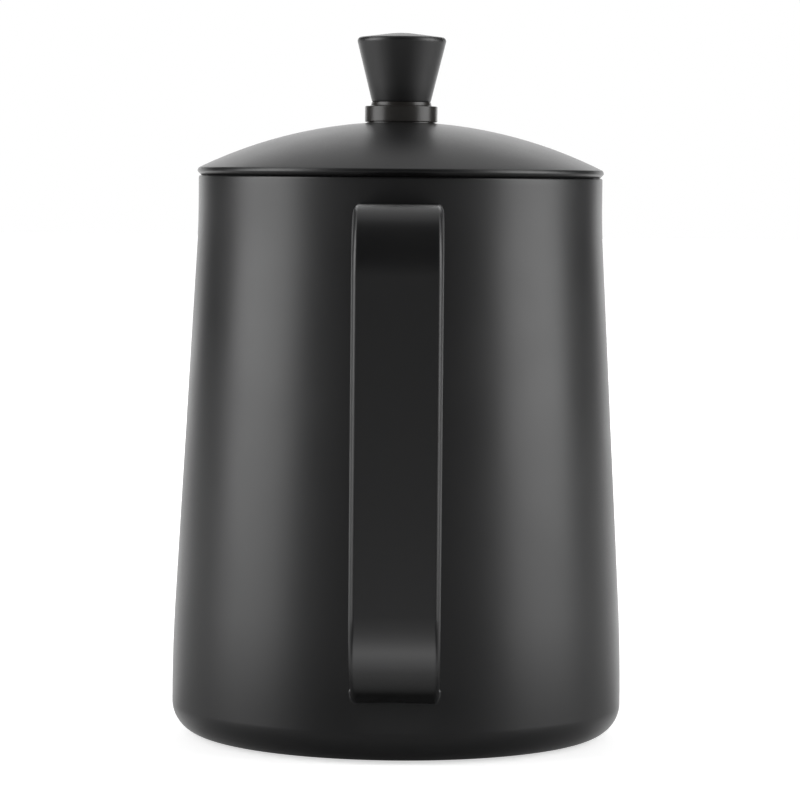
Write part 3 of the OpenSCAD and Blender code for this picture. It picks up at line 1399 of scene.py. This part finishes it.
@dataclass
class KnobStack:
    """The collar, the knob and the screw that holds them on the lid."""

    neck_radius: float = 0.0061
    neck_height: float = 0.0008
    neck_step: float = 0.00005
    neck_fillet: float = 0.0004
    collar_foot_step: Flat = (0.0004, 0.00025)  # depth and height of the gap at its foot
    collar_edge: float = 0.0002
    foot_radius: float = 0.00585
    foot_edge: float = 0.00015
    cone_shares: Corner = (0.3, 0.6, 0.97)  # heights of the rings on the cone
    head_radius: float = 0.00884
    edge_radius: float = 0.0008
    edge_steps: int = 20
    crown_slope: float = 7.1
    crown_shares: Flat = (0.03, 0.97)  # places of the rings on the slope of the crown
    tip_radius: float = 0.020
    tip_steps: int = 24
    bore_radius: float = 0.003
    bore_depth: float = 0.009
    screw_hole: float = 0.0022
    screw_radius: float = 0.002
    screw_edge: float = 0.0003
    head_edge: float = 0.0002
    pan_edge: float = 0.0013
    cross_width: float = 0.0009
    cross_length: float = 0.0044
    cross_depth: float = 0.0013
    cross_clear: float = 0.0005
    cross_taper: Flat = (1.05, 0.75)  # its size at both ends of the cutter

    def __post_init__(self) -> None:
        """Reads the main sizes from the solids."""
        low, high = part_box("knob_collar")
        self.collar_radius = high.x
        self.collar_low = low.z
        self.collar_top = high.z
        self.knob_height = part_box("knob")[1].z - self.collar_top
        screw_low, screw_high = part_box("knob_screw")
        self.screw_low = screw_low.z
        self.screw_top = screw_high.z
        self.screw_head = screw_high.x
        self.screw_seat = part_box("spring_washer")[0].z

    def build_collar(self) -> Piece:
        """The collar, with a ledge and a short neck on top and a narrow shadow gap above the dome.

        Returns:
            The collar.
        """
        inset, gap = self.collar_foot_step
        ledge = self.collar_top - self.neck_height
        rest = self.collar_low + gap
        outline = rounded(
            [
                (self.screw_hole, self.collar_low, 0),
                (self.collar_radius - inset, self.collar_low, 0),
                (self.collar_radius - inset, rest, 0),
                (self.collar_radius, rest, self.collar_edge),
                (self.collar_radius, ledge, self.collar_edge),
                (self.neck_radius, ledge, self.neck_fillet),
                (self.foot_radius + self.neck_step, self.collar_top, 0),
                (self.screw_hole, self.collar_top, 0),
            ]
        )
        return revolve("collar", outline)

    def build_knob(self) -> Piece:
        """The knob: a cone, a rounded edge and a shallow cone on top with a rounded tip.

        Returns:
            The knob.
        """
        slope = math.radians(self.crown_slope)
        crown = 90 - self.crown_slope
        tip_up = self.knob_height - self.tip_radius
        edge_at = self.head_radius - self.edge_radius
        edge_up = tip_up + (self.tip_radius - self.edge_radius) / math.cos(slope) - edge_at * math.tan(slope)
        apart = math.hypot(edge_at - self.foot_radius, edge_up)
        lean = math.atan2(edge_at - self.foot_radius, edge_up) + math.asin(self.edge_radius / apart)
        edge = arc((edge_at, edge_up), self.edge_radius, -math.degrees(lean), crown, self.edge_steps)
        tip = arc((0.0, tip_up), self.tip_radius, crown, 90, self.tip_steps)
        rises = [2 * self.foot_edge, *(share * edge[0][1] for share in self.cone_shares)]
        edge_end, tip_start = Vector(edge[-1]), Vector(tip[0])
        outline = [(self.bore_radius, 0.0)]
        outline += [(self.foot_radius - self.foot_edge, 0.0), (self.foot_radius, self.foot_edge)]
        outline += [(self.foot_radius + math.tan(lean) * rise, rise) for rise in rises]
        outline += edge
        outline += [tuple(edge_end.lerp(tip_start, share)) for share in self.crown_shares]
        outline += tip
        outline += [(0.0, self.bore_depth), (self.bore_radius, self.bore_depth)]
        return revolve("knob_body", [(r, z + self.collar_top) for r, z in outline])

    def build_screw(self) -> Piece:
        """The screw, with a pan head and a cross recess.

        Returns:
            The screw.
        """
        outline = rounded(
            [
                (0.0, self.screw_low, 0),
                (self.screw_head, self.screw_low, self.pan_edge),
                (self.screw_head, self.screw_seat, self.head_edge),
                (self.screw_radius, self.screw_seat, 0),
                (self.screw_radius, self.screw_top, self.screw_edge),
                (0.0, self.screw_top, 0),
            ]
        )
        screw = revolve("screw", outline)
        long, short = self.cross_length / 2, self.cross_width / 2
        arm = [(long, -short), (long, short), (short, short)]
        cross = []
        for _ in range(4):
            cross += arm
            arm = [(-along, across) for across, along in arm]
        ends = (self.screw_low - self.cross_clear, self.screw_low + self.cross_depth)
        rings = []
        for share, height in zip(self.cross_taper, ends, strict=True):
            rings.append([Vector((across * share, along * share, height)) for across, along in cross])
        drill(screw, loft("cross_recess", rings, closed=False))
        return screw

    def build(self) -> list[Piece]:
        """The collar, the knob and the screw.

        Returns:
            The three pieces.
        """
        return [
            tie(self.build_collar(), Body.LID, Slot.COLLAR, ["knob_collar"], COLLAR_COATING),
            tie(self.build_knob(), Body.LID, Slot.KNOB, ["knob"], KNOB_MOULDING),
            tie(self.build_screw(), Body.LID, Slot.STEEL, ["knob_screw"], BARE_STEEL),
        ]


@dataclass
class SmallSolids:
    """Solids that keep their shape and only get a better finish."""

    nodes: dict[str, Piece]

    def dress(self, name: str, finish: Finish) -> Piece:
        """Gives one solid a finish.

        Args:
            name: The name of the solid.
            finish: Its finish.

        Returns:
            The solid.
        """
        node = self.nodes[name]
        node.data.materials.clear()
        node.data.materials.append(finish.material())
        return node

    def build(self) -> list[Piece]:
        """The insert and the two washers."""
        finishes = {"knob_insert": INSERT_BRASS, "flat_washer": BARE_STEEL, "spring_washer": BARE_STEEL}
        return [self.dress(name, finish) for name, finish in finishes.items()]


@dataclass(frozen=True)
class CardFinish(Finish):
    """A studio card that glows evenly, or is dark when its glow is 0."""

    glow: float

    def paint(self, sheet: NodeSheet) -> None:
        """Lights the card or darkens it.

        Args:
            sheet: The nodes of the material.
        """
        if self.glow > 0:
            face = sheet.add("ShaderNodeEmission")
            sheet.feed(face.inputs["Strength"], self.glow)
        else:
            face = sheet.add("ShaderNodeBsdfDiffuse")
            face.inputs["Color"].default_value = DARK
        sheet.surface(face)


@dataclass(frozen=True)
class GradedCard(CardFinish):
    """A studio card whose glow changes from front to back, with a place and a share at each stop."""

    stops: tuple[Flat, ...]

    def paint(self, sheet: NodeSheet) -> None:
        """Lights the card from stop to stop.

        Args:
            sheet: The nodes of the material.
        """
        _, along, _ = sheet.split(sheet.place())
        first, last = self.stops[0][0], self.stops[-1][0]
        shares = sheet.add("ShaderNodeValToRGB")
        sheet.feed(shares.inputs[0], sheet.spread(along, 0.0, 1.0, (first, last)))
        marks = shares.color_ramp.elements
        for place, _ in self.stops[1:-1]:
            marks.new((place - first) / (last - first))
        for mark, (_, share) in zip(marks, self.stops, strict=True):
            mark.color = (share, share, share, 1)
        face = sheet.add("ShaderNodeEmission")
        sheet.feed(face.inputs["Color"], shares.outputs[0])
        sheet.feed(face.inputs["Strength"], self.glow)
        sheet.surface(face)


@dataclass(frozen=True)
class FloorGlow:
    """A patch of light on the floor that only the kettle's gloss shows."""

    side: Ramp
    start: Ramp
    end: Ramp

    def strength(self, sheet: NodeSheet, aside: Socket, along: Socket) -> Socket:
        """The strength of the patch, from how far a place lies to the side and towards the back."""
        length = sheet.maths("MULTIPLY", sheet.ramp(along, self.start), sheet.ramp(along, self.end))
        return sheet.maths("MULTIPLY", sheet.ramp(aside, self.side), length)


@dataclass(frozen=True)
class FloorPaper(Finish):
    """Pale paper that is lifted to white in sight, with lights of its own in the kettle's gloss."""

    low: Colour = (0.80, 0.80, 0.80)
    high: Colour = (0.82, 0.82, 0.82)
    grain_scale: float = 900.0
    grain_detail: float = 2.0
    roughness: float = 0.9
    specular: float = 0.1
    lift: Ramp = Ramp((0.3, 1.2), 0.60, 0.95)
    # Painted shade: the floor's mirrored light is dim under the grip, darkest furthest in front.
    painted_shade_under_grip: Ramp = Ramp((-0.085, -0.05), 0.04, 0.27)
    near_span: Flat = (-0.06, 0.14)
    near_glow: float = 0.68
    far_span: Flat = (0.5, 1.2)
    far_glow: float = 0.95
    lane: FloorGlow = FloorGlow(
        side=Ramp((0.03, 0.10), 0.70, 0.0),
        start=Ramp((-0.18, -0.12), 1.0, 0.0),
        end=Ramp((-0.6, -0.35), 0.0, 1.0),
    )
    flank: FloorGlow = FloorGlow(
        side=Ramp((0.11, 0.19), 0.0, 0.7),
        start=Ramp((-0.06, 0.02), 1.0, 0.0),
        end=Ramp((-0.6, -0.35), 0.0, 1.0),
    )
    wake: FloorGlow = FloorGlow(
        side=Ramp((0.05, 1.0), 1.4, 0.0),
        start=Ramp((-0.02, 0.02), 0.0, 1.0),
        end=Ramp((0.25, 1.1), 1.0, 0.0),
    )
    wake_from: float = 0.044
    wake_least: float = 0.02
    shade: Ramp = Ramp((-0.042, -0.02), 0.15, 1.0)
    shade_span: Flat = (0.040, 0.056)

    def mirrored(self, sheet: NodeSheet, place: Socket, reach: Socket) -> Socket:
        """The strength of the floor's light in reflections.

        A lane leads towards the camera, a flank lies on each side, and a wake spreads behind the kettle.
        Painted shade dims this light under the grip and round the front of the kettle's foot.

        Args:
            sheet: The nodes of the material.
            place: The place on the floor.
            reach: Its distance from the kettle's axis.

        Returns:
            The socket with the strength.
        """
        across, along, _ = sheet.split(place)
        aside = sheet.maths("ABSOLUTE", across)
        near = sheet.spread(along, sheet.ramp(along, self.painted_shade_under_grip), self.near_glow, self.near_span)
        base = sheet.spread(reach, near, self.far_glow, self.far_span)
        outside = sheet.maths("SUBTRACT", aside, self.wake_from)
        slant = sheet.maths("DIVIDE", outside, sheet.maths("MAXIMUM", along, self.wake_least))
        wake = self.wake.strength(sheet, slant, along)
        lane = self.lane.strength(sheet, aside, along)
        flank = self.flank.strength(sheet, aside, along)
        beyond = sheet.maths("ADD", sheet.maths("ADD", base, wake), sheet.maths("ADD", lane, flank))
        # Painted contact shade: the mirrored light is dimmed near the kettle's foot, most in front.
        painted_contact_shade = sheet.spread(reach, sheet.ramp(along, self.shade), 1.0, self.shade_span)
        return sheet.maths("MULTIPLY", beyond, painted_contact_shade)

    def paint(self, sheet: NodeSheet) -> None:
        """Shows the paper in sight and its mirrored light in gloss.

        Args:
            sheet: The nodes of the material.
        """
        place = sheet.place()
        distance = sheet.add("ShaderNodeVectorMath", operation="LENGTH")
        sheet.feed(distance.inputs[0], place)
        reach = distance.outputs["Value"]
        path = sheet.add("ShaderNodeLightPath")
        seen = sheet.maths("MAXIMUM", path.outputs["Is Camera Ray"], path.outputs["Is Transmission Ray"])
        lift = sheet.maths("MULTIPLY", seen, sheet.ramp(reach, self.lift))
        grain = sheet.noise(place, self.grain_scale, self.grain_detail)
        paper = sheet.find("BSDF_PRINCIPLED")
        sheet.feed(paper.inputs["Base Color"], sheet.tint(grain, self.low, self.high))
        sheet.feed(paper.inputs["Roughness"], self.roughness)
        sheet.feed(paper.inputs["Specular IOR Level"], self.specular)
        sheet.feed(paper.inputs["Emission Strength"], lift)
        paper.inputs["Emission Color"].default_value = WHITE
        gloss = sheet.add("ShaderNodeEmission")
        sheet.feed(gloss.inputs["Strength"], self.mirrored(sheet, place, reach))
        either = sheet.add("ShaderNodeMixShader")
        sheet.feed(either.inputs[0], path.outputs["Is Glossy Ray"])
        sheet.feed(either.inputs[1], paper.outputs[0])
        sheet.feed(either.inputs[2], gloss.outputs[0])
        sheet.surface(either)


@dataclass
class Studio:
    """The floor, the cards round the kettle, the white surround and the camera.

    The spans of the upright cards are in degrees from the camera's side, to the right if positive.
    """

    camera_distance: float = 0.736
    eye_height: float = 0.1116
    camera_turn: float = 0.3
    camera_aside: float = 0.00027
    focal_pixels: float = 3675.0
    pitch: float = 3.495
    roll: float = 0.522
    sensor: float = 36.0
    clip: Flat = (0.01, 50.0)
    ambient: float = 0.3
    ring_radius: float = 0.95
    card_steps: int = 16
    side_glow: float = 4.5
    side_span: Flat = (58.0, 100.0)
    flag_span: Flat = (101.0, 143.0)
    flag_foot: float = 0.035
    back_glow: float = 1.65
    back_span: Flat = (144.0, 216.0)
    back_heights: Flat = (0.0, 0.3)
    high_back_span: Flat = (158.0, 202.0)
    high_back_heights: Flat = (0.301, 0.7)
    high_flag_span: Flat = (144.0, 157.9)
    front_span: Flat = (-57.0, 57.0)
    low_front_glow: float = 0.42
    low_front_heights: Flat = (0.0, 0.12)
    front_glow: float = 0.12
    front_heights: Flat = (0.121, 0.35)
    front_flag_foot: float = 0.351
    ceiling: float = 1.0
    ceiling_half: float = 1.0
    ceiling_split: float = 0.1
    ceiling_back: float = 1.3
    top_glow: float = 0.6
    strip_glow: float = 2.0
    strip_sides: Flat = (0.45, 0.95)
    strip_ends: Flat = (-0.15, 0.5)
    strip_drop: float = 0.01
    kicker_glow: float = 1.95
    kicker_width: float = 0.036
    kicker_height: float = 0.012
    kicker_stops: tuple[Flat, ...] = (
        (-0.125, 0.30), (-0.105, 0.36), (-0.0885, 0.54), (-0.0775, 1.0),
        (-0.072, 0.55), (-0.0655, 0.20), (-0.060, 0.08), (-0.050, 0.06),
    )
    floor_drop: float = 0.0002
    floor_steps: int = 96
    floor_radii: tuple[float, ...] = (0.0, 0.05, 0.1, 0.2, 0.4, 0.8, 1.6, 3.2, 6.0)

    def show(self, card: Piece, finish: CardFinish) -> None:
        """Gives a card its finish and keeps it out of the camera's direct sight.

        Args:
            card: The card.
            finish: Its surface.
        """
        card.data.materials.append(finish.material())
        card.visible_camera = False

    def curved_card(self, name: str, span: Flat, heights: Flat, finish: CardFinish) -> None:
        """Adds an upright card bent round the kettle.

        Args:
            name: The name of the card.
            span: Its two sides in degrees.
            heights: Its lower and upper edge.
            finish: Its surface.
        """
        bent = arc((0.0, 0.0), self.ring_radius, span[0] - 90, span[1] - 90, self.card_steps)
        grid = [[Vector((across, along, height)) for across, along in bent] for height in heights]
        self.show(quilt(name, grid), finish)

    def flat_card(self, name: str, corner: Corner, far: Flat, finish: CardFinish) -> Piece:
        """Adds a level card.

        Args:
            name: The name of the card.
            corner: One corner, whose height is that of the card.
            far: The opposite corner.
            finish: Its surface.

        Returns:
            The card.
        """
        grid = [[Vector((x, y, corner[2])) for x in (corner[0], far[0])] for y in (corner[1], far[1])]
        card = quilt(name, grid)
        self.show(card, finish)
        return card

    def build_ring(self) -> None:
        """Upright cards round the kettle: bright at the sides, less so behind, and dim or dark elsewhere."""
        bright = CardFinish("side_glow", self.side_glow)
        back = CardFinish("back_glow", self.back_glow)
        front = CardFinish("front_glow", self.front_glow)
        low_front = CardFinish("low_front_glow", self.low_front_glow)
        dark = CardFinish("dark_card", 0.0)
        high_foot = self.high_back_heights[0]
        for side in (-1, 1):
            for name, span, foot, finish in (
                ("side_card", self.side_span, 0.0, bright),
                ("back_flag", self.flag_span, self.flag_foot, dark),
                ("high_flag", self.high_flag_span, high_foot, dark),
            ):
                turned = (side * span[0], side * span[1])
                self.curved_card(f"{name}_{side + 1}", turned, (foot, self.ceiling), finish)
        self.curved_card("back_card", self.back_span, self.back_heights, back)
        self.curved_card("high_back_card", self.high_back_span, self.high_back_heights, back)
        self.curved_card("low_front_card", self.front_span, self.low_front_heights, low_front)
        self.curved_card("front_card", self.front_span, self.front_heights, front)
        self.curved_card("front_flag", self.front_span, (self.front_flag_foot, self.ceiling), dark)

    def build_level_cards(self) -> None:
        """A ceiling that is dark in front, two bright strips under it and a small kicker below the strap."""
        dark = CardFinish("dark_card", 0.0)
        top = CardFinish("top_glow", self.top_glow)
        strip = CardFinish("strip_glow", self.strip_glow)
        kicker = GradedCard("kicker_glow", self.kicker_glow, self.kicker_stops)
        half = self.ceiling_half
        split = self.ceiling_split
        self.flat_card("front_ceiling", (-half, -half, self.ceiling), (half, split), dark)
        self.flat_card("back_ceiling", (-half, split, self.ceiling), (half, self.ceiling_back), top)
        near, far = self.strip_sides
        front_end, back_end = self.strip_ends
        for side in (-1, 1):
            corner = (side * near, front_end, self.ceiling - self.strip_drop)
            self.flat_card(f"overhead_strip_{side + 1}", corner, (side * far, back_end), strip)
        aside = self.kicker_width / 2
        corner = (-aside, self.kicker_stops[0][0], self.kicker_height)
        below_strap = self.flat_card("kicker", corner, (aside, self.kicker_stops[-1][0]), kicker)
        below_strap.visible_shadow = False

    def build_world(self) -> None:
        """A white surround for sight and reflections, and a dimmer one for general light."""
        world = bpy.data.worlds.new("white_surround")
        bpy.context.scene.world = world
        world.use_nodes = True
        sheet = NodeSheet(world.node_tree)
        path = sheet.add("ShaderNodeLightPath")
        seen = path.outputs["Is Camera Ray"]
        for name in ("Is Glossy Ray", "Is Transmission Ray"):
            seen = sheet.maths("MAXIMUM", seen, path.outputs[name])
        back = sheet.find("BACKGROUND")
        back.inputs["Color"].default_value = WHITE
        sheet.feed(back.inputs["Strength"], sheet.spread(seen, self.ambient, 1.0, (0.0, 1.0)))

    def build_floor(self) -> None:
        """A round floor that is finer near the kettle."""
        around = [*turns(self.floor_steps), 2 * math.pi]
        ways = [Vector((math.cos(a), math.sin(a), 0)) for a in around]
        middle = Vector((0, 0, -self.floor_drop))
        grid = [[middle + way * radius for way in ways] for radius in self.floor_radii]
        floor = quilt("floor", grid)
        floor.data.materials.append(FloorPaper("pale_floor").material())

    def build_camera(self) -> None:
        """The camera at the photograph's place."""
        data = bpy.data.cameras.new("camera")
        data.sensor_width = self.sensor
        data.lens = self.focal_pixels * self.sensor / IMAGE_SIDE
        data.clip_start, data.clip_end = self.clip
        camera = bpy.data.objects.new("camera", data)
        bpy.context.scene.collection.objects.link(camera)
        spot = Vector((self.camera_aside, -self.camera_distance, self.eye_height))
        look = Matrix.Rotation(math.radians(90 - self.pitch), 4, "X")
        level = Matrix.Rotation(math.radians(self.roll), 4, "Z")
        around = Matrix.Rotation(math.radians(self.camera_turn), 4, "Z")
        camera.matrix_world = around @ Matrix.Translation(spot) @ look @ level
        bpy.context.scene.camera = camera

    def build(self) -> None:
        """Sets up the whole studio."""
        bpy.context.scene.view_settings.view_transform = "Standard"
        self.build_ring()
        self.build_level_cards()
        self.build_world()
        self.build_floor()
        self.build_camera()


def main() -> None:
    """Builds every sub-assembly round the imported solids, and the studio."""
    logging.basicConfig(level=logging.INFO, format="%(message)s")
    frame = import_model()
    body = KettleBody()
    gooseneck = Gooseneck()
    pieces = body.build(gooseneck.hole(body))
    pieces += StrapHandle().build(body)
    pieces += gooseneck.build(body)
    pieces += Lid().build()
    pieces += KnobStack().build()
    pieces += SmallSolids(frame["nodes"]).build()
    for piece in pieces:
        LOG.info("%s: %d faces", piece.name, len(piece.data.polygons))
    Studio().build()


if __name__ == "__main__":
    main()
